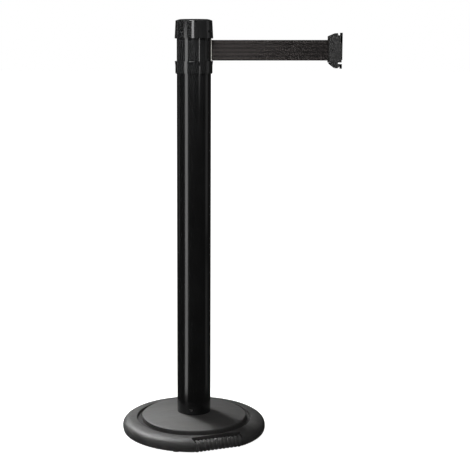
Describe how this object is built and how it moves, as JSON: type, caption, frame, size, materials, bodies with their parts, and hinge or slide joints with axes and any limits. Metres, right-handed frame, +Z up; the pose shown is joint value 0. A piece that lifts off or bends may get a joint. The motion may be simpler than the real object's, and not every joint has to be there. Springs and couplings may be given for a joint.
{
  "type": "retractable belt stanchion",
  "caption": "Free-standing queue post with a weighted round base, a roller in its rim, and a spring-wound belt that pulls out sideways to a latching clip.",
  "frame": {"origin": "centre of the base on the floor", "axes": "+Z up the post, +X along the pulled-out belt, -Y towards the front"},
  "size_m": [0.5323, 0.36, 1.016],
  "materials": {
    "black_cover": "satin black powder coat",
    "black_post": "smooth semi-gloss black powder coat",
    "black_rim": "satin moulded black bumper ring",
    "black_head": "satin moulded black",
    "black_clip": "fine moulded black",
    "clip_steel": "black plated steel, worn bright at the tips",
    "black_rubber": "matt moulded rubber",
    "iron": "rough cast, painted dark",
    "zinc_sheet": "zinc plated sheet",
    "steel": "turned or drawn steel",
    "screw_steel": "dark plated steel",
    "nylon_black": "moulded nylon",
    "nylon_white": "natural acetal",
    "bronze": "sintered bronze",
    "felt": "pressed felt",
    "webbing": "woven polyester with lengthwise ribs"
  },
  "bodies": {
    "stanchion": {"base_rim": "black_rim", "base_weight": "iron", "base_pan": "zinc_sheet", "base_cover": "black_cover", "floor_pads": "black_rubber", "roller_axle": "steel", "bearing_blocks": "nylon_black", "block_screws": "screw_steel", "post_plug": "iron", "centre_bolt": "steel", "bolt_washer": "steel", "post_tube": "black_post", "post_screws": "screw_steel", "head_housing": "black_head", "lower_ring": "black_head", "ring_screws": "screw_steel", "cap": "black_head", "cap_screws": "screw_steel", "cassette_lower_plate": "zinc_sheet", "cassette_upper_plate": "zinc_sheet", "cassette_columns": "steel", "cassette_screws": "screw_steel", "spool_shaft": "steel", "shaft_nut": "steel", "friction_disc": "felt", "guide_pins": "steel", "slot_bezel": "nylon_white", "belt_feed": "webbing"},
    "roller": {"roller_sleeve": "black_rubber", "roller_core": "nylon_black"},
    "spool": {"spool": "nylon_black", "spool_top_flange": "nylon_black", "spool_bushes": "bronze", "belt_roll": "webbing", "power_spring": "steel"},
    "guide_back": {"guide_roller_back": "nylon_white"},
    "guide_front": {"guide_roller_front": "nylon_white"},
    "clip": {"clip_shell": "black_clip", "clip_plate": "clip_steel", "plate_rivets": "steel", "belt_clamp": "nylon_black", "clamp_screws": "screw_steel", "belt": "webbing"},
    "latch": {"latch_pad": "black_clip", "latch_hook": "clip_steel", "latch_spring": "steel"}
  },
  "joints": [
    {"name": "belt_pull", "type": "slide", "parent": "stanchion", "child": "clip", "axis": [1, 0, 0], "range_m": [-0.276, 1.95], "deforming": ["belt"]},
    {"name": "spool_spin", "type": "hinge", "parent": "stanchion", "child": "spool", "pos_m": [0, 0, 0.9418], "axis": [0, 0, 1], "range_deg": [-3751, 532]},
    {"name": "latch", "type": "slide", "parent": "clip", "child": "latch", "axis": [0, 0, 1], "range_m": [0, 0.0095], "stiffness_N_per_m": 300, "springref_m": -0.006, "deforming": ["latch_spring"]},
    {"name": "roller_spin", "type": "hinge", "parent": "stanchion", "child": "roller", "pos_m": [0.05656, -0.14967, 0.0152], "axis": [0.9354, 0.3535, 0], "continuous": true},
    {"name": "guide_back_spin", "type": "hinge", "parent": "stanchion", "child": "guide_back", "pos_m": [0.036, 0.00355, 0.9418], "axis": [0, 0, 1], "continuous": true},
    {"name": "guide_front_spin", "type": "hinge", "parent": "stanchion", "child": "guide_front", "pos_m": [0.036, -0.00355, 0.9418], "axis": [0, 0, 1], "continuous": true}
  ],
  "couplings": [
    {"joint": "spool_spin", "follows": "belt_pull", "rad_per_m": -33.557}
  ]
}
